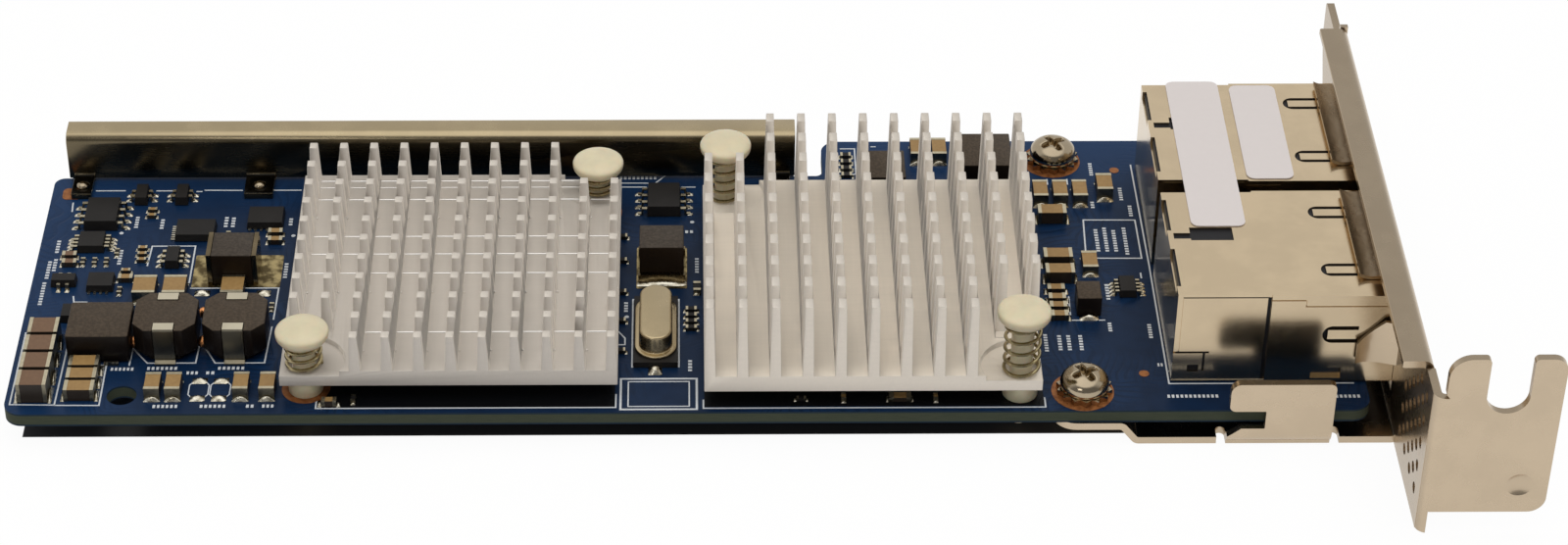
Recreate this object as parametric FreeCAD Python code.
import FreeCAD, Part
import math
import os
from FreeCAD import Vector

# Dual-port network interface card on a low-profile bracket. Millimetres throughout.
# Working axes: X runs along the card towards the bracket, Y from the bracket's screw tab towards
# its tongue, Z up out of the component side. X = 0 is the plate's inner face, Y = 0 the screw
# tab's outer face and Z = 0 the board's component side. Everything is moved at the end so that
# the origin is the bottom centre of the whole card.

# ---- board
board_thickness = 1.57
board_left = -147.8
board_right = -2.7
board_near = 14.93
board_depth_left = 43.07        # main part, up to the root of the edge connector
board_depth_right = 49.95       # part beside the jacks
corner_radius = 2.0
board_far_left = board_near + board_depth_left
board_far_right = board_near + board_depth_right
tongue_right = -63.0
tongue_gap = 3.3                # open notch between connector and the deeper part
tongue_depth = 8.25
contact_pitch = 1.0
contact_width = 0.7
contact_thickness = 0.04
short_block_contacts = 11
long_block_contacts = 69
key_notch_width = 1.9
tooling_hole_radius = 1.6
tooling_hole = Vector(-135.5, 18.1, 0)

# ---- bracket
sheet = 0.86
bend_radius = 0.35
plate_bottom = -4.34
plate_height = 18.42
plate_top = plate_bottom + plate_height
plate_far = 68.2
tongue_tip = 79.2
bracket_tongue_width = 10.19
bracket_tongue_top = plate_top - 4.1
tongue_offset = 0.42
flange_reach = 2.44
flange_near = 5.3
flange_far = 67.1
tab_bottom = -1.5
tab_top = 18.4
tab_reach = 13.0
notch_width = 4.4
notch_centre = Vector(7.4, 0, 13.7)
shelf_top = plate_bottom + sheet
relief_top = 13.4               # plate and bend end here beside the tab, below the flange
leg_width = 7.6
leg_lead = 3.6                  # from a leg's near edge to its screw
ear_reach = 36.4
clip_left, clip_right = -18.0, -6.9
joggle_at = 28.6
jack_clearance = 0.4
perforation_radius = 0.65
perforation_pitch = 3.15        # along a row; every other row is offset by half of it
perforation_rise = 1.5          # from row to row

# ---- board screws
screw_x = -33.0
near_screw_y = 18.3
far_screw_y = 60.9
screw_radius = 1.5
screw_head_radius = 2.62
washer_thickness = 0.7
screw_fit = 0.1

# ---- jacks
jack_width = 18.56
jack_gap = 2.36
jack_near = 19.79
jack_height = 11.6
jack_back = -23.6
jack_front = 0.6
jack_sheet = 0.25
front_sleeve = 13.7             # length of the sleeve that overlaps the shield's front
socket_width = 11.9
socket_height = 7.0
socket_depth = 15.0
latch_width = 6.2
latch_height = 2.1
peg_radius = 1.5
jack_peg_x = -9.5

# ---- heatsinks
sink_side = 35.8
sink_base_bottom = 1.9
sink_base_thickness = 2.0
left_sink_corner = Vector(-118.5, 17.2, sink_base_bottom)
right_sink_corner = Vector(-73.5, 16.0, sink_base_bottom)
sink_columns = 11
left_sink_rows = 11
right_sink_rows = 10
left_sink_top = 8.4
right_sink_top = 13.05
left_fin_root = 1.25
right_fin_root = 1.2
left_fin_inset = 0.62           # ledge beside the first fin
right_fin_inset = 0.0
fin_tip = 0.85
left_pin_length = 1.1
right_pin_length = 1.6
pocket_radius = 4.3
pocket_depth = 0.65
push_pin_offset_x = 15.35
push_pin_offset_y = 15.9
right_near_pin_shift = 0.35

# ---- push pins and springs
cap_radius = 2.85
cap_thickness = 1.65
stem_radius = 1.2
barrel_radius = 1.87
board_hole_radius = 1.5
push_pin_fit = 0.1
spring_radius = 1.85
spring_wire = 0.2
left_cap_bottom = 6.0
right_cap_bottom = 9.2
near_cap_lift = 0.8             # the pins nearer the screw tab stand this much higher

# ---- stiffener bar
bar_left = -146.1
bar_right = -62.9
bar_front = 57.55
bar_sheet = 0.8
bar_bottom = 0.35
bar_top = 6.15
bar_flange = 3.1
foot_length = 3.7
rivet_radius = 0.8

# ---- chips and passive parts
package_side = 27.0
package_height = 1.72
pad_thickness = sink_base_bottom - package_height
lead_thickness = 0.2
end_cap = 0.4
inductor_y = 27.1
inductor_pitch = 7.45
first_inductor_x = -138.45
inductor_side = 6.75
plain_inductor_place = Vector(-138.6, 26.8, 0)
choke_x, choke_y = -125.5, 39.8
centre_choke_x, centre_choke_y = -78.1, 40.4
crystal_x, crystal_y = -78.7, 28.4
can_top = 3.2


def box(x0, y0, z0, x1, y1, z1):
    """Box between two opposite corners."""
    return Part.makeBox(x1 - x0, y1 - y0, z1 - z0, Vector(x0, y0, z0))


def rod(radius, x, y, z0, z1):
    """Upright cylinder."""
    return Part.makeCylinder(radius, z1 - z0, Vector(x, y, z0))


def rounded_wire(corners):
    """Closed wire through (point, radius) corners, with an arc at each corner that has a radius."""
    edges = []
    start = None
    last = None
    count = len(corners)
    for i in range(count):
        before, here, after = corners[i - 1][0], corners[i][0], corners[(i + 1) % count][0]
        radius = corners[i][1]
        if radius > 0:
            a = (before - here).normalize()
            b = (after - here).normalize()
            half = a.getAngle(b) / 2
            reach = radius / math.tan(half)
            middle = (a + b).normalize()
            centre = here + middle * (radius / math.sin(half))
            enter, leave = here + a * reach, here + b * reach
            top = centre - middle * radius
        else:
            enter = leave = here
            top = None
        if last is not None and last.distanceToPoint(enter) > 1e-6:
            edges.append(Part.makeLine(last, enter))
        if top is not None:
            edges.append(Part.Arc(enter, top, leave).toShape())
        if start is None:
            start = enter
        last = leave
    if last.distanceToPoint(start) > 1e-6:
        edges.append(Part.makeLine(last, start))
    return Part.Wire(edges)


def prism(corners, direction):
    """Solid made by sweeping a rounded outline along a vector."""
    return Part.Face(rounded_wire(corners)).extrude(direction)


def flat(points, z0, z1):
    """Plate parallel to the board; points are (x, y, corner radius)."""
    return prism([(Vector(x, y, z0), r) for x, y, r in points], Vector(0, 0, z1 - z0))


def revolve(points, x, y):
    """Solid of revolution about an upright axis; points are (radius, z)."""
    wire = Part.makePolygon([Vector(x + r, y, z) for r, z in points]
                            + [Vector(x + points[0][0], y, points[0][1])])
    return Part.Face(wire).revolve(Vector(x, y, 0), Vector(0, 0, 1), 360)


def cut_all(shape, tools):
    """Shape less every tool."""
    return shape.cut(Part.makeCompound(tools))


def fuse_all(shapes):
    """One solid from touching or overlapping shapes."""
    return shapes[0].multiFuse(shapes[1:]).removeSplitter()


def sink_centre(corner):
    return Vector(corner.x + sink_side / 2, corner.y + sink_side / 2, 0)


def push_pin_places(corner, mirrored):
    """Centres of a heatsink's two push pins, on one diagonal."""
    middle = sink_centre(corner)
    side = 1 if mirrored else -1
    along = right_near_pin_shift if mirrored else 0
    near = Vector(middle.x + side * push_pin_offset_x + along, middle.y - push_pin_offset_y, 0)
    far = Vector(middle.x - side * push_pin_offset_x, middle.y + push_pin_offset_y, 0)
    return [near, far]


left_pins = push_pin_places(left_sink_corner, False)
right_pins = push_pin_places(right_sink_corner, True)
screws = [Vector(screw_x, near_screw_y, 0), Vector(screw_x, far_screw_y, 0)]
jack_starts = [jack_near, jack_near + jack_width + jack_gap]


# ---------------------------------------------------------------- board and edge connector

def contact_blocks():
    """Right end and contact count of the two blocks of the edge connector."""
    short_end = tongue_right - 0.325
    long_end = tongue_right - short_block_contacts * contact_pitch - 0.65 - key_notch_width
    return [(short_end, short_block_contacts), (long_end, long_block_contacts)]


def circuit_board():
    """Board outline with connector tongue, key notch and every hole."""
    long_end = contact_blocks()[1][0]
    tongue_left = long_end - long_block_contacts * contact_pitch - 0.325
    tongue_far = board_far_left + tongue_depth
    step = tongue_right + tongue_gap
    key_right = tongue_right - short_block_contacts * contact_pitch - 0.65
    key_left = key_right - key_notch_width
    outline = [
        (board_left, board_near, corner_radius), (board_right, board_near, corner_radius),
        (board_right, board_far_right, corner_radius), (step, board_far_right, corner_radius),
        (step, board_far_left, 0.8), (tongue_right, board_far_left, 0),
        (tongue_right, tongue_far, 0.8), (key_right, tongue_far, 0.5), (key_right, board_far_left + 0.6, 0.9),
        (key_left, board_far_left + 0.6, 0.9), (key_left, tongue_far, 0.5), (tongue_left, tongue_far, 0.8),
        (tongue_left, board_far_left, 0), (board_left, board_far_left, 1.2)]
    board = flat(outline, -board_thickness, 0)
    holes = [rod(tooling_hole_radius, tooling_hole.x, tooling_hole.y, -3, 1)]
    for place in left_pins + right_pins:
        holes.append(rod(board_hole_radius, place.x, place.y, -3, 1))
    for place in screws:
        holes.append(rod(screw_radius + screw_fit, place.x, place.y, -3, 1))
    for start in jack_starts:
        for y in jack_peg_rows(start):
            holes.append(rod(peg_radius + push_pin_fit, jack_peg_x, y, -3, 1))
    return cut_all(board, holes)


def edge_contacts():
    """Gold contacts on both faces of the tongue."""
    pads = []
    y1 = board_far_left + tongue_depth - 0.6
    for right, count in contact_blocks():
        for i in range(count):
            x1 = right - i * contact_pitch - (contact_pitch - contact_width) / 2
            short = 0.9 if i % 8 == 3 else 0
            pads.append(box(x1 - contact_width, y1 - 5.6, 0, x1, y1 - short, contact_thickness))
            pads.append(box(x1 - contact_width, y1 - 5.6, -board_thickness - contact_thickness,
                            x1, y1, -board_thickness))
    return Part.makeCompound(pads)


# ---------------------------------------------------------------- stiffener bar

def bar_feet():
    """Left end and width of each riveted foot."""
    return [(bar_left + 0.6, 2.3), (-125.8, 3.3), (bar_right - 3.4, 2.8)]


def stiffener_bar():
    """Folded bar: upright wall, flange turned away from the chips and feet on the board."""
    y0, y1, z1 = bar_front, bar_front + bar_flange, bar_top
    profile = [
        (Vector(bar_left, y0, bar_bottom), 0), (Vector(bar_left, y0, z1), bend_radius + bar_sheet),
        (Vector(bar_left, y1, z1), 0), (Vector(bar_left, y1, z1 - bar_sheet), 0),
        (Vector(bar_left, y0 + bar_sheet, z1 - bar_sheet), bend_radius),
        (Vector(bar_left, y0 + bar_sheet, bar_bottom), 0)]
    bar = prism(profile, Vector(bar_right - bar_left, 0, 0))
    corner = prism([(Vector(bar_left - 1, y1 - 0.9, z1 + 1), 0), (Vector(bar_left - 1, y1 + 1, z1 + 1), 0),
                    (Vector(bar_left + 0.9, y1 + 1, z1 + 1), 0)], Vector(0, 0, -2.5))
    bar = bar.cut(corner)
    parts = [bar]
    for x, width in bar_feet():
        foot = prism([
            (Vector(x, y0 + bar_sheet, bar_bottom + 1), 0),
            (Vector(x, y0 + bar_sheet, 0), bend_radius + bar_sheet),
            (Vector(x, y0 + bar_sheet - foot_length - bar_sheet, 0), 0),
            (Vector(x, y0 - foot_length, bar_sheet), 0),
            (Vector(x, y0, bar_sheet), bend_radius), (Vector(x, y0, bar_bottom + 1), 0)], Vector(width, 0, 0))
        parts.append(foot)
    bar = fuse_all(parts)
    return cut_all(bar, [rod(rivet_radius + 0.02, p.x, p.y, -1, 2) for p in rivet_places()])


def rivet_places():
    return [Vector(x + width / 2, bar_front - foot_length + 1.6, 0) for x, width in bar_feet()]


def bar_rivets():
    """Low domed rivets standing on the board through the feet."""
    rivets = []
    for p in rivet_places():
        rivets.append(revolve([(0, 0), (rivet_radius, 0), (rivet_radius, bar_sheet), (1.05, bar_sheet),
                               (0.6, bar_sheet + 0.45), (0, bar_sheet + 0.45)], p.x, p.y))
    return Part.makeCompound(rivets)


# ---------------------------------------------------------------- bracket

def punched_hole(y, z, sides=12):
    """Tool for one hole of the perforated end."""
    points = [Vector(-1, y + perforation_radius * math.cos(2 * math.pi * i / sides),
                     z + perforation_radius * math.sin(2 * math.pi * i / sides)) for i in range(sides)]
    return Part.Face(Part.makePolygon(points + [points[0]])).extrude(Vector(3, 0, 0))


def plate():
    """Upright plate with its jack openings, relief at the screw tab and perforated end."""
    z0, z1 = plate_bottom, plate_top
    near = sheet + 0.05
    outline = [
        (plate_far, z0, 1.0), (plate_far, z1, 0.3), (flange_far + 0.3, z1, 0),
        (flange_far + 0.3, z1 - 1.6, 0),
        (flange_near - 0.3, z1 - 1.6, 0), (flange_near - 0.3, relief_top, 0), (near, relief_top, 0),
        (near, z0, 0)]
    body = prism([(Vector(0, y, z), r) for y, z, r in outline], Vector(sheet, 0, 0))
    for start in jack_starts:
        body = body.cut(box(-1, start - jack_clearance, -1.0, 2, start + jack_width + jack_clearance,
                            jack_height + 0.3 + jack_clearance))
    holes = []
    for row in range(9):
        z = -1.1 + row * perforation_rise
        for column in range(4):
            y = 3.45 + (column - (row % 2) / 2) * perforation_pitch
            holes.append(punched_hole(y, z))
    return cut_all(body, holes)


def bracket_tongue():
    """Narrow tongue, joggled slightly outwards and tapered on its solder side."""
    z1 = bracket_tongue_top
    z0 = z1 - bracket_tongue_width
    y0 = plate_far
    step = [
        (Vector(0, y0 - 0.01, z0), 0), (Vector(tongue_offset, y0 + 2.5, z0), 0),
        (Vector(tongue_offset, tongue_tip, z0), 0),
        (Vector(tongue_offset + sheet, tongue_tip, z0), 0), (Vector(tongue_offset + sheet, y0 + 2.5, z0), 0),
        (Vector(sheet, y0 - 0.01, z0), 0)]
    tongue = prism(step, Vector(0, 0, bracket_tongue_width))
    shape = prism([(Vector(-1, y0 - 1, z0), 0), (Vector(-1, tongue_tip - 3.6, z0), 1.5),
                   (Vector(-1, tongue_tip, z0 + 5.4), 1.0), (Vector(-1, tongue_tip, z1), 0.5),
                   (Vector(-1, y0 - 1, z1), 0)], Vector(4, 0, 0))
    return tongue.common(shape)


def top_flange():
    """Flange folded inwards along the plate's component-side edge."""
    z1 = plate_top
    profile = [
        (Vector(sheet, flange_near, z1 - 1.6), 0), (Vector(sheet, flange_near, z1), sheet + bend_radius),
        (Vector(-flange_reach, flange_near, z1), 0.2), (Vector(-flange_reach, flange_near, z1 - sheet), 0.2),
        (Vector(0, flange_near, z1 - sheet), bend_radius), (Vector(0, flange_near, z1 - 1.6), 0)]
    flange = prism(profile, Vector(0, flange_far - flange_near, 0))
    ends = []
    for y, side in ((flange_near, -1), (flange_far, 1)):
        ends.append(prism([(Vector(-flange_reach - 1, y + side, z1 + 1), 0),
                           (Vector(-flange_reach + 1.0, y + side, z1 + 1), 0),
                           (Vector(-flange_reach - 1, y - side, z1 + 1), 0)], Vector(0, 0, -3)))
    return cut_all(flange, ends)


def screw_tab():
    """Tab folded outwards, with the chassis screw notch and a pressed dimple."""
    z0 = plate_bottom
    bend = [
        (Vector(0, 3.0, z0), 0), (Vector(0, 0, z0), sheet + bend_radius), (Vector(2.2, 0, z0), 0),
        (Vector(2.2, sheet, z0), 0), (Vector(sheet, sheet, z0), bend_radius), (Vector(sheet, 3.0, z0), 0)]
    corner = prism(bend, Vector(0, 0, relief_top - z0))
    corner = corner.cut(box(0.95, -1, z0 - 1, 3, 4, tab_bottom))
    half = notch_width / 2
    mid = notch_centre.x
    outline = [
        (1.6, tab_bottom, 0), (tab_reach - 0.1, tab_bottom, 1.8), (tab_reach, tab_top, 1.5),
        (mid + half, tab_top, 0.5),
        (mid + half, notch_centre.z - half, half - 0.01), (mid - half, notch_centre.z - half, half - 0.01),
        (mid - half, tab_top, 0.5), (1.15, tab_top, 2.3), (1.15, relief_top + 0.5, 0),
        (1.6, relief_top - 0.1, 0)]
    tab = prism([(Vector(x, 0, z), r) for x, z, r in outline], Vector(0, sheet, 0))
    dent_depth = 0.4
    dent_radius = 1.41
    ball = (dent_radius ** 2 + dent_depth ** 2) / (2 * dent_depth)
    dent = Part.makeSphere(ball, Vector(9.95, dent_depth - ball, 2.1))
    return fuse_all([corner, tab]).cut(dent)


def leg_near_edge(y):
    return y - leg_lead


def shelf_legs():
    """Lower shelf and the two joggled legs that carry the board, each with a screw ear."""
    z0, z1 = plate_bottom, shelf_top
    ear_top = -board_thickness
    y0 = leg_near_edge(near_screw_y)
    rim = [
        (Vector(sheet, y0, z0 + 1.6), 0), (Vector(sheet, y0, z0), sheet + bend_radius),
        (Vector(-6.0, y0, z0), 0),
        (Vector(-6.0, y0, z1), 0), (Vector(0, y0, z1), bend_radius), (Vector(0, y0, z0 + 1.6), 0)]
    parts = [prism(rim, Vector(0, far_screw_y - near_screw_y + leg_width, 0))]
    for screw in screws:
        y0 = leg_near_edge(screw.y)
        side = [
            (Vector(-5.5, y0, z0), 0), (Vector(-joggle_at + 0.9, y0, z0), 1.0),
            (Vector(-joggle_at - 0.6, y0, ear_top - sheet), 0.4),
            (Vector(-ear_reach, y0, ear_top - sheet), 0), (Vector(-ear_reach, y0, ear_top), 0),
            (Vector(-joggle_at - 0.3, y0, ear_top), 1.0), (Vector(-joggle_at + 1.2, y0, z1), 0.4),
            (Vector(-5.5, y0, z1), 0)]
        leg = prism(side, Vector(0, leg_width, 0))
        trim = flat([(-ear_reach, y0, 2.5), (-1, y0, 0), (-1, y0 + leg_width, 0),
                     (-ear_reach, y0 + leg_width, 2.5)], -10, 5)
        parts.append(leg.common(trim))
    shelf = fuse_all(parts)
    reliefs = [rod(screw_radius + 0.02, s.x, s.y, -6, 0) for s in screws]
    for x in (clip_left - 0.5, clip_right + 0.5):
        reliefs.append(flat([(x - 0.5, board_near - 2, 0), (x + 0.5, board_near - 2, 0),
                             (x + 0.5, board_near + 1.5, 0.49), (x - 0.5, board_near + 1.5, 0.49)],
                            z0 - 1, z1 + 1))
    return cut_all(shelf, reliefs)


def edge_clip():
    """Clip bent up from the near leg in front of the board's edge, slotted from its free side."""
    outer = 2.0
    inner = outer - sheet
    y0 = board_near - 0.12 - sheet
    z0 = plate_bottom
    turn = [
        (Vector(clip_left, y0 + outer + 0.6, z0), 0), (Vector(clip_left, y0, z0), outer),
        (Vector(clip_left, y0, 4.15), 0),
        (Vector(clip_left, y0 + sheet, 4.15), 0), (Vector(clip_left, y0 + sheet, z0 + sheet), inner),
        (Vector(clip_left, y0 + outer + 0.6, z0 + sheet), 0)]
    clip = prism(turn, Vector(clip_right - clip_left, 0, 0))
    outline = [(clip_left, z0 - 1, 0), (clip_right, z0 - 1, 0), (clip_right, 4.15, 0.7),
               (clip_left, 4.15, 1.1), (clip_left, 0.55, 0.7), (-14.1, 0.55, 0.1),
               (-14.1, -1.75, 0.1), (-16.6, -1.75, 0), (clip_left, -2.9, 0)]
    return clip.common(prism([(Vector(x, y0 - 1, z), r) for x, z, r in outline], Vector(0, outer + 5, 0)))


def curled(points, thickness):
    """Profile of a sheet whose centre line passes through points, thick on its second side."""
    line = Part.BSplineCurve()
    line.interpolate([Vector(x, 0, z) for x, z in points])
    back = Part.BSplineCurve()
    back.interpolate([Vector(x, 0, z + thickness) for x, z in points])
    ends = [Part.makeLine(Vector(x, 0, z), Vector(x, 0, z + thickness)) for x, z in (points[0], points[-1])]
    return Part.Face(Part.Wire([line.toShape(), ends[1], back.toShape(), ends[0]]))


def grounding_lips():
    """Curved lips folded in from the jack openings so that they press on the shields."""
    lips = []
    rise = jack_height + 0.05
    for start in jack_starts:
        y0, y1 = start + 2.6, start + jack_width - 0.6
        face = curled([(0.3, rise + 1.0), (-1.5, rise + 0.25), (-3.0, rise + 0.02), (-4.2, rise + 0.4)], 0.4)
        face.translate(Vector(0, y0, 0))
        lips.append(face.extrude(Vector(0, y1 - y0, 0)))
    wing = curled([(0.3, 0.75), (-1.6, 0.2), (-3.2, 0.02), (-4.3, 0.35)], 0.4)
    wing.rotate(Vector(0, 0, 0), Vector(1, 0, 0), 90)
    wing.translate(Vector(0, jack_starts[0] - jack_sheet - 0.05, 3.2))
    side_lip = wing.extrude(Vector(0, 0, 5.4))
    shape = prism([(Vector(1, 10, 3.2), 0), (Vector(-4.5, 10, 3.2), 0), (Vector(-4.5, 10, 5.6), 0),
                   (Vector(-1.5, 10, 8.6), 0), (Vector(1, 10, 8.6), 0)], Vector(0, 14, 0))
    lips.append(side_lip.common(shape))
    return lips


def bracket():
    """The whole folded bracket as one sheet-metal piece."""
    return fuse_all([plate(), bracket_tongue(), top_flange(), screw_tab(), shelf_legs(), edge_clip()]
                    + grounding_lips())


# ---------------------------------------------------------------- screws

def board_screws():
    """Pan-head screws through board and bracket ear, with a cross recess."""
    made = []
    seat = washer_thickness
    for p in screws:
        r = screw_head_radius
        body = revolve([(0, -3.9), (screw_radius, -3.9), (screw_radius, seat), (r, seat),
                        (r, seat + 0.9), (r - 0.5, seat + 1.7), (r - 1.3, seat + 2.05),
                        (0, seat + 2.05)], p.x, p.y)
        slots = [box(p.x - 1.35, p.y - 0.28, seat + 1.1, p.x + 1.35, p.y + 0.28, 6),
                 box(p.x - 0.28, p.y - 1.35, seat + 1.1, p.x + 0.28, p.y + 1.35, 6)]
        cross = slots[0].fuse(slots[1])
        cross.rotate(p, Vector(0, 0, 1), 45)
        made.append(body.cut(cross))
    return Part.makeCompound(made)


def lock_washers():
    """Toothed lock washers between screw heads and board."""
    made = []
    teeth = 14
    for p in screws:
        outline = []
        for i in range(teeth * 2):
            r = 3.0 if i % 2 else 2.55
            a = math.pi * i / teeth
            outline.append((p.x + r * math.cos(a), p.y + r * math.sin(a), 0))
        made.append(flat(outline, 0, washer_thickness).cut(rod(screw_radius + 0.1, p.x, p.y, -1, 2)))
    return Part.makeCompound(made)


# ---------------------------------------------------------------- jacks

def jack_peg_rows(start):
    return [start + jack_width / 2 - 5.7, start + jack_width / 2 + 5.7]


def finger_slot(x0, x1, y0, y1, z0, z1):
    """U-shaped cut that leaves a spring finger, open towards the front."""
    r = (y1 - y0) / 2
    ring = flat([(x0, y0, r - 0.01), (x1, y0, 0), (x1, y1, 0), (x0, y1, r - 0.01)], z0, z1)
    finger = flat([(x0 + 0.55, y0 + 0.5, 0), (x1 + 1, y0 + 0.5, 0), (x1 + 1, y1 - 0.5, 0),
                   (x0 + 0.55, y1 - 0.5, 0)], z0, z1)
    return ring.cut(finger)


def jack_shield(start):
    """Folded shield with a sleeve at its front, spring fingers and cut-outs."""
    y0, y1 = start, start + jack_width
    t, top = jack_sheet, jack_height
    outer = box(jack_back, y0, 0.05, jack_front, y1, top)
    inner = box(jack_back + t, y0 + t, -1, jack_front + 1, y1 - t, top - t)
    rear = outer.cut(inner)
    sleeve_outer = box(-front_sleeve, y0 - t, 0.3, jack_front, y1 + t, top)
    sleeve = sleeve_outer.cut(box(-front_sleeve - 1, y0, -1, jack_front + 1, y1, top + 1))
    seam = 0.2
    back = jack_back
    grooves = [box(-front_sleeve, y0 - t - 1, top - 0.65, -10.0, y0 - t + seam, top - 0.5),
               box(-10.1, y0 - t - 1, top - 1.45, -10.0, y0 - t + seam, top - 0.5),
               box(-10.1, y0 - t - 1, top - 1.45, jack_front + 1, y0 - t + seam, top - 1.3),
               box(-8.8, y0 - 1, 0.65, -5.6, y0 + 0.9 * t, 2.1),
               box(back - 1, y0 - 1, 3.85, -19.8, y0 + 1.2 * t, 4.1),
               box(-20.45, y0 - 1, 1.5, -20.2, y0 + 1.2 * t, 4.1),
               box(-22.0, y0 - 1, 1.4, -20.8, y0 + 1.2 * t, 2.3),
               box(-front_sleeve - 0.4, y0 - 1, 0.4, -front_sleeve, y0 + 0.8 * t, top - 0.3),
               box(back + 0.5, y0 - 1, top - 0.42, -front_sleeve - 0.2, y0 + 0.6 * t, top - 0.28),
               box(back + 0.45, y0 - 1, 4.1, back + 0.6, y0 + 0.6 * t, top - 0.3)]
    cuts = [finger_slot(-8.0, -4.2, y0 + 3.3, y0 + 5.5, top - 1, top + 1),
            finger_slot(-8.0, -4.2, y1 - 4.9, y1 - 2.7, top - 1, top + 1)]
    window = finger_slot(-8.0, -4.2, 0, 2.2, -1, 1)
    window.rotate(Vector(0, 0, 0), Vector(1, 0, 0), 90)
    window.translate(Vector(0, y0, 5.4))
    cuts += [window] + grooves
    cuts.append(box(-21.2, y1 - 8.8, top - t - 0.5, -16.6, y1 - 6.5, top + 1))
    cuts.append(box(-23.0, y1 - 8.5, top - t - 0.5, -21.1, y1 - 7.5, top + 1))
    cuts.append(box(jack_back - 1, y1 - 7.0, top - 0.9, jack_back + 0.45, y1 - 1.4, top + 1))
    cuts.append(box(jack_back - 1, y0 + 1.6, top - 0.9, jack_back + 0.45, y0 + 8.2, top + 1))
    return cut_all(rear.fuse(sleeve).removeSplitter(), cuts)


def jack_housing(start):
    """Moulded block with the plug socket, latch channel, contact slots and locating pegs."""
    t = jack_sheet + 0.02
    y0, y1 = start + t, start + jack_width - t
    mid = start + jack_width / 2
    floor = 1.1 + latch_height
    block = box(jack_back + t, y0, 0.0, jack_front - 0.15, y1, jack_height - t)
    front = jack_front - 0.15
    socket = box(front - socket_depth, mid - socket_width / 2, floor,
                 front + 1, mid + socket_width / 2, floor + socket_height)
    latch = box(front - socket_depth + 2, mid - latch_width / 2, floor - latch_height,
                front + 1, mid + latch_width / 2, floor + 0.1)
    recess = box(front - 9.0, mid - 5.0, floor + socket_height - 0.1,
                 front - 2.0, mid + 5.0, floor + socket_height + 0.75)
    body = cut_all(block, [socket, latch, recess] + [lens_seat(y) for y in lens_rows(start)])
    pegs = [revolve([(0, 0.1), (0, -2.6), (peg_radius - 0.5, -2.6), (peg_radius, -2.0), (peg_radius, 0.1)],
                    jack_peg_x, y)
            for y in jack_peg_rows(start)]
    return fuse_all([body] + pegs)


def lens_rows(start):
    return [start + 1.9, start + jack_width - 1.9]


def lens_seat(y):
    return box(jack_front - 4.15, y - 1.1, 1.3, jack_front + 1, y + 1.1, 3.9)


def status_lenses():
    """Small light lenses low down beside each socket."""
    return Part.makeCompound([box(jack_front - 4.15, y - 1.08, 1.32, jack_front - 0.1, y + 1.08, 3.88)
                              for start in jack_starts for y in lens_rows(start)])


def jack_contacts(start):
    """Eight sprung wires that slope down into the socket from its roof."""
    mid = start + jack_width / 2
    roof = 1.1 + latch_height + socket_height
    front = jack_front - 0.15
    made = []
    for i in range(8):
        y = mid + (i - 3.5) * 1.02
        side = [(front - 2.1, roof + 0.7), (front - 2.1, roof + 0.4), (front - 8.4, roof - 2.3),
                (front - 8.9, roof - 2.3),
                (front - 8.9, roof - 2.0), (front - 8.5, roof - 2.0), (front - 2.6, roof + 0.7)]
        made.append(prism([(Vector(x, y - 0.2, z), 0) for x, z in side], Vector(0, 0.4, 0)))
    return Part.makeCompound(made)


def ring(x, y, z, radius, sides=8):
    """Closed polygon around an upright axis."""
    points = [Vector(x + radius * math.cos(2 * math.pi * i / sides),
                     y + radius * math.sin(2 * math.pi * i / sides), z)
              for i in range(sides)]
    return Part.makePolygon(points + [points[0]])


def jack_solder_joints():
    """Soldered pin ends under each jack."""
    made = []
    under = -board_thickness
    for start in jack_starts:
        mid = start + jack_width / 2
        for row in range(2):
            for i in range(6):
                y = mid + (i - 2.5) * 2.03 + row
                x = -14.5 - row * 2.54
                made.append(Part.makeLoft([ring(x, y, under, 0.75), ring(x, y, under - 0.55, 0.35),
                                           ring(x, y, under - 1.2, 0.25)], True, True))
    return Part.makeCompound(made)


# ---------------------------------------------------------------- heatsinks

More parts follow.
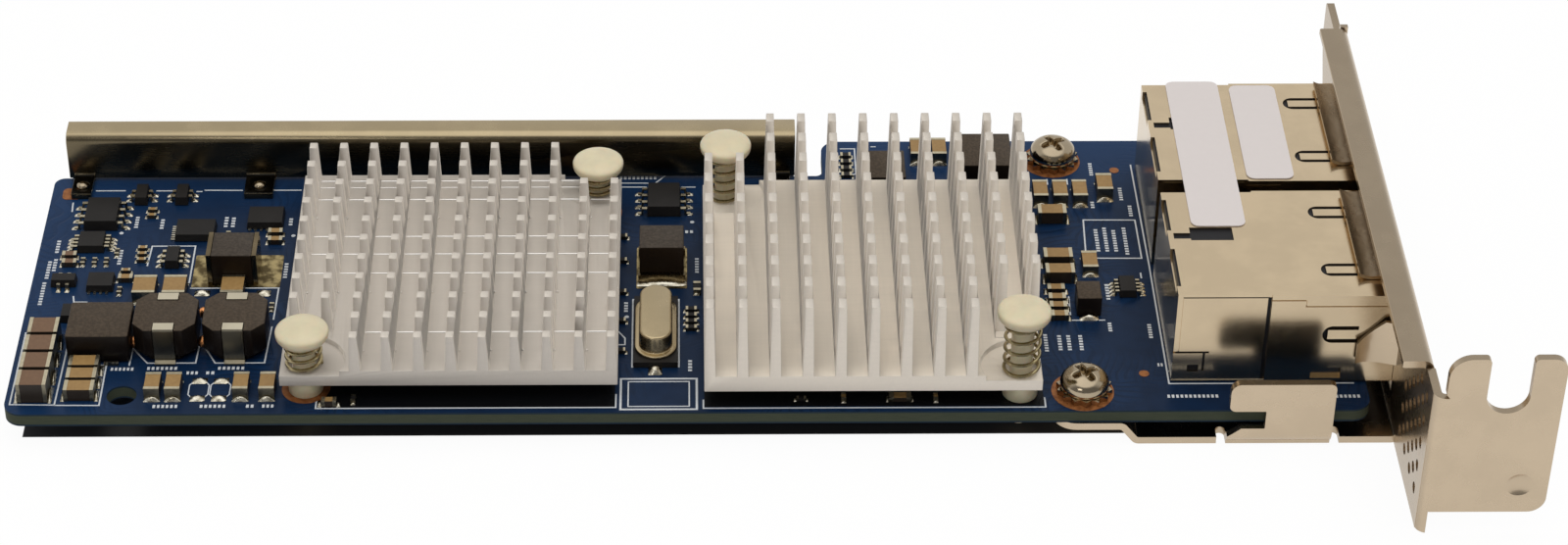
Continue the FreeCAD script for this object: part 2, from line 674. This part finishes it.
def heatsink(corner, rows, top, fin_root, inset, pin_length, mirrored):
    """Extruded comb of tapered fins, cross-cut into pins, with push pin pockets on one diagonal."""
    floor = corner.z + sink_base_thickness
    pitch = (sink_side - inset - fin_root) / (sink_columns - 1)
    lean = (fin_root - fin_tip) / 2
    comb = [Vector(corner.x, corner.y, corner.z), Vector(corner.x, corner.y, floor)]
    for i in range(sink_columns):
        x = corner.x + inset + i * pitch
        if i or inset:
            comb.append(Vector(x, corner.y, floor))
        comb += [Vector(x + lean, corner.y, top), Vector(x + fin_root - lean, corner.y, top)]
        if i < sink_columns - 1:
            comb.append(Vector(x + fin_root, corner.y, floor))
    comb += [Vector(corner.x + sink_side, corner.y, floor), Vector(corner.x + sink_side, corner.y, corner.z)]
    sink = Part.Face(Part.makePolygon(comb + [comb[0]])).extrude(Vector(0, sink_side, 0))
    row_pitch = (sink_side - pin_length) / (rows - 1)
    tools = []
    for i in range(rows - 1):
        y = corner.y + pin_length + i * row_pitch
        tools.append(box(corner.x - 1, y, floor + 0.06,
                         corner.x + sink_side + 1, y + row_pitch - pin_length, top + 1))
    reach_left = inset + 2 * pitch - (pitch - fin_root) / 2
    reach_right = reach_left - inset
    reach_y = 2 * row_pitch - (row_pitch - pin_length) / 2
    for place in push_pin_places(corner, mirrored):
        left = place.x < corner.x + sink_side / 2
        near = place.y < corner.y + sink_side / 2
        x0 = corner.x - 1 if left else corner.x + sink_side - reach_right
        reach_x = reach_left if left else reach_right
        y0 = corner.y - 1 if near else corner.y + sink_side - reach_y
        tools.append(box(x0, y0, floor, x0 + reach_x + 1, y0 + reach_y + 1, top + 1))
        tools.append(rod(pocket_radius, place.x, place.y, floor - pocket_depth, top + 1))
        tools.append(rod(stem_radius + push_pin_fit, place.x, place.y, 0, top))
    for tool in tools:
        sink = sink.cut(tool)
    return sink


def cap_heights(cap_bottom):
    """Underside of the near and the far cap of one heatsink."""
    return [cap_bottom + near_cap_lift, cap_bottom]


def push_pins(places, cap_bottom):
    """Plastic push pins: domed cap, stem, stop collar under the sink and barbed tip below the board."""
    made = []
    under = -board_thickness
    for p, z in zip(places, cap_heights(cap_bottom)):
        r = cap_radius
        made.append(revolve([
            (0, under - 2.2), (0.8, under - 2.2), (barrel_radius, under - 0.05),
            (board_hole_radius - 0.1, under - 0.05), (board_hole_radius - 0.1, 0.02), (barrel_radius, 0.02),
            (barrel_radius, sink_base_bottom - 0.02), (stem_radius, sink_base_bottom - 0.02),
            (stem_radius, z),
            (r - 0.2, z), (r, z + 0.7), (r - 0.8, z + cap_thickness - 0.1),
            (0, z + cap_thickness)], p.x, p.y))
    return Part.makeCompound(made)


def coil(x, y, z0, height, turns):
    """Closed spring wire of square section, faceted along its helix."""
    steps = int(turns * 12)
    w = spring_wire
    rings = []
    for i in range(steps + 1):
        angle = 2 * math.pi * i / 12
        z = z0 + height * i / steps
        ring = []
        for dr, dz in ((-w, 0), (0, -w), (w, 0), (0, w)):
            r = spring_radius + dr
            ring.append(Vector(x + r * math.cos(angle), y + r * math.sin(angle), z + dz))
        rings.append(ring)
    faces = [rings[0], rings[-1][::-1]]
    for low, high in zip(rings, rings[1:]):
        for k in range(4):
            a, b, c, d = low[k], low[(k + 1) % 4], high[(k + 1) % 4], high[k]
            faces += [[a, d, b], [b, d, c]]
    shell = Part.makeShell([Part.Face(Part.makePolygon(f + [f[0]])) for f in faces])
    return Part.makeSolid(shell)


def push_pin_springs(places, cap_bottom, turns):
    """Compression springs between the pocket floor and the cap."""
    z0 = sink_base_bottom + sink_base_thickness - pocket_depth + spring_wire + 0.02
    return Part.makeCompound([coil(p.x, p.y, z0, top - spring_wire - 0.02 - z0, turns)
                              for p, top in zip(places, cap_heights(cap_bottom))])


def controller_chip(corner):
    """Square processor package under a heatsink."""
    c = sink_centre(corner)
    h = package_side / 2
    base = box(c.x - h, c.y - h, 0.35, c.x + h, c.y + h, 1.0)
    lid = box(c.x - h + 1, c.y - h + 1, 0.9, c.x + h - 1, c.y + h - 1, package_height)
    field = box(c.x - h + 1.5, c.y - h + 1.5, 0.0, c.x + h - 1.5, c.y + h - 1.5, 0.5)
    return fuse_all([base, lid, field])


def thermal_pad(corner):
    c = sink_centre(corner)
    h = package_side / 2 - 2
    return box(c.x - h, c.y - h, package_height, c.x + h, c.y + h, sink_base_bottom)


# ---------------------------------------------------------------- chips, inductors and capacitors

def plain_inductor():
    """Moulded power inductor with a plain square body."""
    h = inductor_side / 2
    x, y = plain_inductor_place.x, plain_inductor_place.y
    return flat([(x - h, y - h + 0.3, 0.35), (x + h, y - h + 0.3, 0.35), (x + h, y + h - 0.3, 0.35),
                 (x - h, y + h - 0.3, 0.35)], 0.15, 3.6)


def octagon(x, y, h, cut, z0, z1):
    return flat([(x - h + cut, y - h, 0), (x + h - cut, y - h, 0), (x + h, y - h + cut, 0),
                 (x + h, y + h - cut, 0),
                 (x + h - cut, y + h, 0), (x - h + cut, y + h, 0), (x - h, y + h - cut, 0),
                 (x - h, y - h + cut, 0)], z0, z1)


def clip_inductor_bodies():
    """Two moulded inductors with cut corners, stepped bottoms and seats for their clips."""
    made = []
    h = inductor_side / 2
    for i in (1, 2):
        x = first_inductor_x + i * inductor_pitch - 0.45
        foot = octagon(x, inductor_y, h - 0.35, 1.5, 0.15, 1.0)
        body = octagon(x, inductor_y, h, 1.3, 0.9, 4.35).fuse(foot).removeSplitter()
        for side in (-1, 1):
            y = inductor_y + side * h
            body = body.cut(box(x - 1.15, min(y, y - side * 1.3), 3.95, x + 1.15, max(y, y - side * 1.3), 5))
            body = body.cut(box(x - 1.15, min(y + side, y - side * 0.4), -1, x + 1.15,
                                max(y + side, y - side * 0.4), 5))
        made.append(body)
    return Part.makeCompound(made)


def inductor_clips():
    """Folded tinned terminals at both sides of each clipped inductor."""
    made = []
    h = inductor_side / 2
    for i in (1, 2):
        x = first_inductor_x + i * inductor_pitch - 0.45
        for side in (-1, 1):
            y = inductor_y + side * h
            s = side
            profile = [(y - s * 1.28, 4.0), (y - s * 1.28, 4.4), (y - s * 0.1, 4.4), (y + s * 0.02, 4.2),
                       (y + s * 0.02, 0.35),
                       (y + s * 0.5, 0.2), (y + s * 0.5, 0.0), (y - s * 0.38, 0.0), (y - s * 0.38, 3.96),
                       (y - s * 0.45, 4.0)]
            wire = Part.makePolygon([Vector(x - 1.1, b, c) for b, c in profile]
                                    + [Vector(x - 1.1, profile[0][0], profile[0][1])])
            made.append(Part.Face(wire).extrude(Vector(2.2, 0, 0)))
    x, y = plain_inductor_place.x, plain_inductor_place.y - h
    for start in (x - 2.2, x + 0.6):
        made.append(box(start, y - 0.22, 0, start + 1.6, y - 0.01, 0.5))
    return Part.makeCompound(made)


def choke_bodies():
    """Ferrite blocks of the two filter chokes."""
    left = box(choke_x - 2.25, choke_y - 2.2, 0.05, choke_x + 2.25, choke_y + 2.2, 4.0)
    centre = box(centre_choke_x - 2.45, centre_choke_y - 1.95, 0.05,
                 centre_choke_x + 2.45, centre_choke_y + 2.3, 4.3)
    return Part.makeCompound([left, centre])


def choke_terminals():
    """Metal end caps on the left choke and folded terminals on the centre one."""
    made = []
    for side in (-1, 1):
        x = choke_x + side * 2.27
        made.append(box(min(x, x + side * 0.5), choke_y - 2.2, 0, max(x, x + side * 0.5), choke_y + 2.2, 4.0))
    y = centre_choke_y - 1.97
    made.append(box(centre_choke_x - 2.6, y - 0.55, 0, centre_choke_x + 2.6, y, 0.9))
    made.append(box(centre_choke_x - 2.6, centre_choke_y + 2.32, 0,
                    centre_choke_x + 2.6, centre_choke_y + 2.9, 0.9))
    return Part.makeCompound(made)


def rear_inductors():
    """Blocks behind the right heatsink and the small inductor beside the jacks."""
    return Part.makeCompound([
        box(-43.7, 55.2, 0.05, -38.1, 61.6, 3.4), box(-54.5, 54.3, 0.05, -50.3, 59.7, 2.4),
        box(-32.65, 31.3, 0.05, -30.0, 34.5, 2.5)])


def stadium(x, y, width, length, z0, z1):
    w, h = width / 2, length / 2
    return flat([(x - w, y - h, w - 0.01), (x + w, y - h, w - 0.01), (x + w, y + h, w - 0.01),
                 (x - w, y + h, w - 0.01)], z0, z1)


def crystal_can():
    """Drawn can of the crystal with its welded flange."""
    flange = stadium(crystal_x, crystal_y, 4.55, 10.9, 0.75, 1.1)
    can = stadium(crystal_x, crystal_y, 3.5, 9.7, 1.0, can_top)
    top = [e for e in can.Edges if abs(e.CenterOfMass.z - can_top) < 0.01]
    return fuse_all([flange, can.makeChamfer(0.15, top)])


def crystal_base():
    return box(crystal_x - 2.4, crystal_y - 5.9, 0.05, crystal_x + 2.4, crystal_y + 5.9, 0.75)


def chip_body(x, y, width, length, height):
    """Moulded chip body with a slight draft on every side."""
    corners = ((-1, -1), (1, -1), (1, 1), (-1, 1), (-1, -1))
    d = 0.12
    low = Part.makePolygon([Vector(x + a * width / 2, y + b * length / 2, 0.1) for a, b in corners])
    top = Part.makePolygon([Vector(x + a * (width / 2 - d), y + b * (length / 2 - d), height)
                            for a, b in corners])
    return Part.makeLoft([low, top], True, True)


def gull_leads(x, y, width, span, height, pitch, count, width_lead, along_y=True):
    """Gull-wing leads down both sides of a chip."""
    made = []
    t = lead_thickness
    foot = (span - width) * 0.28
    for side in (-1, 1):
        a = side * (width / 2 + 0.005)
        b = side * span / 2
        m = height * 0.5
        k = b - side * foot
        j = k - side * 0.1
        profile = [(a, m), (a, m + t), (j + side * t, m + t), (k + side * t, t), (b, t), (b, 0.0),
                   (k, 0.0), (j, m)]
        for i in range(count):
            c = (i - (count - 1) / 2) * pitch - width_lead / 2
            if along_y:
                points = [Vector(x + u, y + c, z) for u, z in profile]
                sweep = Vector(0, width_lead, 0)
            else:
                points = [Vector(x + c, y + u, z) for u, z in profile]
                sweep = Vector(width_lead, 0, 0)
            made.append(Part.Face(Part.makePolygon(points + [points[0]])).extrude(sweep))
    return made


class Chip:
    """Leaded chip: place, body size, leads on the X sides unless turned."""

    def __init__(self, x, y, width, length, height, span, pitch, count, lead, turned=False):
        across, along = (length, width) if turned else (width, length)
        self.body = chip_body(x, y, across, along, height)
        self.leads = gull_leads(x, y, width, span, height, pitch, count, lead, not turned)


wide_chips = [
    Chip(-141.4, 50.1, 3.8, 4.8, 1.35, 6.0, 1.27, 4, 0.4),
    Chip(-142.0, 45.0, 3.0, 3.0, 1.0, 4.9, 0.65, 4, 0.3),
    Chip(-77.9, 52.5, 3.8, 4.9, 1.4, 6.0, 1.27, 4, 0.4),
    Chip(-26.7, 36.1, 1.9, 3.0, 0.95, 3.4, 0.65, 4, 0.26)]
transistors = [
    Chip(-137.4, 54.0, 1.5, 2.9, 1.1, 2.9, 0.95, 2, 0.4),
    Chip(-132.8, 54.0, 1.5, 2.9, 1.1, 2.9, 0.95, 2, 0.4),
    Chip(-132.6, 42.0, 1.6, 3.0, 1.1, 3.0, 0.95, 3, 0.4),
    Chip(-144.2, 37.9, 1.5, 2.8, 1.0, 2.6, 0.95, 2, 0.4, True)]


def flat_chips():
    """Leadless packages that sit straight on the board."""
    return Part.makeCompound([
        chip_body(-130.6, 47.2, 4.5, 3.2, 0.95), chip_body(-122.9, 49.6, 4.1, 3.3, 0.9),
        chip_body(-140.1, 37.6, 3.0, 2.7, 0.9), chip_body(-142.0, 31.9, 3.4, 2.4, 1.0)])


def capacitor(x, y, length, width, height, turned=False):
    """Ceramic capacitor as (body, ends); its length runs along X unless turned."""
    a, b = length / 2, width / 2
    e = end_cap
    if turned:
        body = box(x - b + 0.03, y - a + e, 0.05, x + b - 0.03, y + a - e, height - 0.03)
        ends = [box(x - b, y - a, 0, x + b, y - a + e, height),
                box(x - b, y + a - e, 0, x + b, y + a, height)]
    else:
        body = box(x - a + e, y - b + 0.03, 0.05, x + a - e, y + b - 0.03, height - 0.03)
        ends = [box(x - a, y - b, 0, x - a + e, y + b, height),
                box(x + a - e, y - b, 0, x + a, y + b, height)]
    return body, ends


def component_side_capacitors():
    """Every larger capacitor on the component side."""
    made = []
    for i in range(4):
        made.append(capacitor(-144.8, 18.15 + i * 3.05, 3.2, 2.6, 2.5))
    for i in range(3):
        made.append(capacitor(-139.9, 18.0 + i * 2.15, 3.2, 1.75, 1.55))
    for x in (-132.2, -130.0, -122.8, -120.0):
        made.append(capacitor(x, 18.8, 2.9, 1.65, 1.5, True))
    for x in (-135.0, -131.7, -125.3):
        made.append(capacitor(x, 35.9, 3.2, 2.5, 1.5, True))
    for i in range(3):
        made.append(capacitor(-35.0 + i * 2.25, 53.5, 3.1, 1.65, 1.5, True))
    made.append(capacitor(-27.6, 54.6, 3.1, 1.8, 1.6, True))
    for y in (49.3, 41.0, 38.1):
        made.append(capacitor(-34.0, y, 3.2, 1.75, 1.6))
    made.append(capacitor(-30.5, 40.3, 3.0, 1.7, 1.2, True))
    for y in (35.8, 34.1, 32.6, 31.0):
        made.append(capacitor(-34.6, y, 1.9, 1.0, 0.8))
    made.append(capacitor(-48.6, 61.9, 3.2, 1.65, 1.5, True))
    made.append(capacitor(-46.1, 61.9, 3.2, 1.65, 1.5, True))
    made.append(capacitor(-113.3, 16.4, 1.6, 0.8, 0.8))
    return made


def underside_capacitors():
    """Decoupling capacitors on the solder side, under the two processors and the regulators."""
    made = []
    for corner in (left_sink_corner, right_sink_corner):
        c = sink_centre(corner)
        for i in range(5):
            for j in range(4):
                made.append(capacitor(c.x - 9 + i * 4.5, c.y - 7.5 + j * 5.0, 1.6, 0.8, 0.75,
                                      (i + j) % 2 == 0))
    for i in range(4):
        made.append(capacitor(-138.0 + i * 4.2, 39.0, 3.2, 1.6, 0.9, True))
    return made


def turned_over(shapes):
    """Mirror shapes through the board so that they hang from the solder side."""
    made = []
    for shape in shapes:
        copy = shape.mirror(Vector(0, 0, -board_thickness / 2), Vector(0, 0, 1))
        made.append(copy)
    return made


component_caps = component_side_capacitors()
solder_caps = underside_capacitors()

nodes = {
    "circuit_board": circuit_board(),
    "edge_contacts": edge_contacts(),
    "stiffener_bar": stiffener_bar(),
    "bar_rivets": bar_rivets(),
    "bracket": bracket(),
    "board_screws": board_screws(),
    "lock_washers": lock_washers(),
    "near_jack_shield": jack_shield(jack_starts[0]),
    "far_jack_shield": jack_shield(jack_starts[1]),
    "near_jack_housing": jack_housing(jack_starts[0]),
    "far_jack_housing": jack_housing(jack_starts[1]),
    "near_jack_contacts": jack_contacts(jack_starts[0]),
    "far_jack_contacts": jack_contacts(jack_starts[1]),
    "status_lenses": status_lenses(),
    "jack_solder_joints": jack_solder_joints(),
    "left_heatsink": heatsink(left_sink_corner, left_sink_rows, left_sink_top, left_fin_root,
                              left_fin_inset, left_pin_length, False),
    "right_heatsink": heatsink(right_sink_corner, right_sink_rows, right_sink_top, right_fin_root,
                               right_fin_inset, right_pin_length, True),
    "left_push_pins": push_pins(left_pins, left_cap_bottom),
    "right_push_pins": push_pins(right_pins, right_cap_bottom),
    "left_push_pin_springs": push_pin_springs(left_pins, left_cap_bottom, 3.5),
    "right_push_pin_springs": push_pin_springs(right_pins, right_cap_bottom, 5.5),
    "left_controller_chip": controller_chip(left_sink_corner),
    "right_controller_chip": controller_chip(right_sink_corner),
    "left_thermal_pad": thermal_pad(left_sink_corner),
    "right_thermal_pad": thermal_pad(right_sink_corner),
    "plain_inductor": plain_inductor(),
    "clip_inductor_bodies": clip_inductor_bodies(),
    "inductor_clips": inductor_clips(),
    "choke_bodies": choke_bodies(),
    "choke_terminals": choke_terminals(),
    "rear_inductors": rear_inductors(),
    "crystal_can": crystal_can(),
    "crystal_base": crystal_base(),
    "leaded_chips": Part.makeCompound([c.body for c in wide_chips]),
    "leaded_chip_leads": Part.makeCompound([s for c in wide_chips for s in c.leads]),
    "small_transistors": Part.makeCompound([c.body for c in transistors]),
    "small_transistor_leads": Part.makeCompound([s for c in transistors for s in c.leads]),
    "flat_chips": flat_chips(),
    "capacitor_bodies": Part.makeCompound([body for body, ends in component_caps]),
    "capacitor_ends": Part.makeCompound([s for body, ends in component_caps for s in ends]),
    "underside_capacitor_bodies": Part.makeCompound(turned_over([body for body, ends in solder_caps])),
    "underside_capacitor_ends": Part.makeCompound(turned_over([s for body, ends in solder_caps
                                                               for s in ends])),
}

everything = Part.makeCompound(list(nodes.values())).optimalBoundingBox(False, False)
shift = Vector(-(everything.XMin + everything.XMax) / 2, -(everything.YMin + everything.YMax) / 2,
               -everything.ZMin)
os.makedirs("parts", exist_ok=True)
for name, shape in nodes.items():
    shape.translate(shift)
    shape.exportStep("parts/" + name + ".step")
print("card", [round(v, 2) for v in (everything.XLength, everything.YLength, everything.ZLength)], "shift",
      shift)
